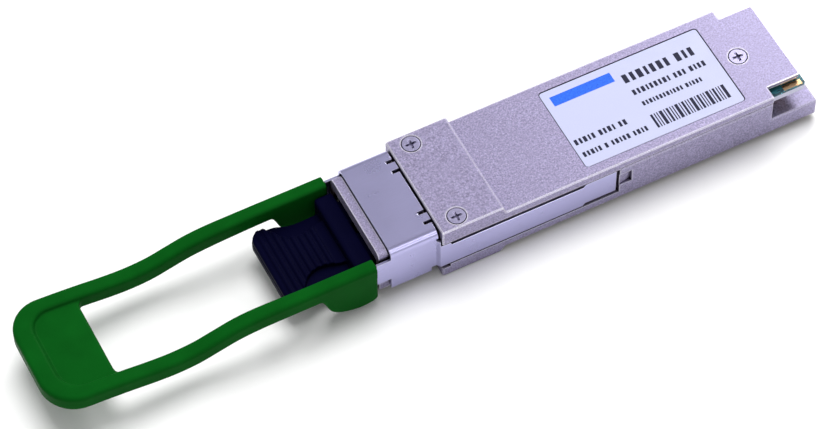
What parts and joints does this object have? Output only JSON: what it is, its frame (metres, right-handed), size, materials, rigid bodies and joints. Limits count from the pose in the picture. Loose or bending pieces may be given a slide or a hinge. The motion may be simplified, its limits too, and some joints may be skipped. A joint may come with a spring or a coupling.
{
  "type": "pluggable optical transceiver module",
  "caption": "Slim die-cast pluggable fibre-optic module with a duplex receptacle, gold-edged card, side-latch slider, looped plastic pull tab and a ribbed dust plug.",
  "frame": {"origin": "middle of the bounding box's bottom face, with the part lying heat-sink side down", "axes": "+X from the pull tab to the card edge, along the insertion direction; +Y across, to the left seen from the pull tab; +Z out of the label side"},
  "size_m": [0.1238, 0.0186, 0.0108],
  "materials": {
    "die_cast": "satin nickel plate over a grainy die casting",
    "slider_steel": "smooth stamped stainless sheet",
    "fastener_steel": "plain steel",
    "barrel_steel": "turned stainless",
    "green_plastic": "moulded green elastomer, satin",
    "black_plastic": "moulded black plastic",
    "label_film": "pale adhesive film, blank of marks",
    "board": "solder mask over glass epoxy",
    "gold_plate": "gold plate",
    "zirconia": "polished",
    "polyimide": "amber film",
    "thermal_pad": "soft filled silicone",
    "gasket": "conductive silicone",
    "chip_black": "moulded epoxy"
  },
  "bodies": {
    "module": {"base_housing": "die_cast", "label_cover": "die_cast", "cover_label": "label_film", "cover_screw_front_left": "fastener_steel", "cover_screw_front_right": "fastener_steel", "cover_screw_rear": "fastener_steel", "cover_gasket_left": "gasket", "cover_gasket_right": "gasket", "return_spring_left": "fastener_steel", "return_spring_right": "fastener_steel", "receptacle_block": "black_plastic", "receptacle_clip": "slider_steel", "circuit_board": "board", "laser_driver_chip": "chip_black", "power_converter_chip": "chip_black", "power_inductor": "chip_black", "microcontroller_chip": "chip_black", "chip_thermal_pad": "thermal_pad", "optics_thermal_pad": "thermal_pad", "transmit_port_barrel": "barrel_steel", "transmit_fiber_stub": "zirconia", "transmit_lens_ring": "gold_plate", "transmit_optical_box": "gold_plate", "transmit_box_lid": "gold_plate", "transmit_flex_circuit": "polyimide", "transmit_retimer_chip": "chip_black", "receive_port_barrel": "barrel_steel", "receive_fiber_stub": "zirconia", "receive_lens_ring": "gold_plate", "receive_optical_box": "gold_plate", "receive_box_lid": "gold_plate", "receive_flex_circuit": "polyimide", "receive_retimer_chip": "chip_black"},
    "pull_tab": {"pull_tab": "green_plastic", "latch_slider": "slider_steel"},
    "dust_plug": {"dust_plug": "black_plastic"}
  },
  "joints": [
    {"name": "pull_tab_slide", "type": "slide", "parent": "module", "child": "pull_tab", "axis": [-1, 0, 0], "range_m": [0, 0.0022], "stiffness_N_per_m": 800, "springref_m": -0.0008, "deforming": ["return_spring_left", "return_spring_right"]},
    {"name": "dust_plug_slide", "type": "slide", "parent": "module", "child": "dust_plug", "axis": [-1, 0, 0], "range_m": [0, 0.012]}
  ]
}
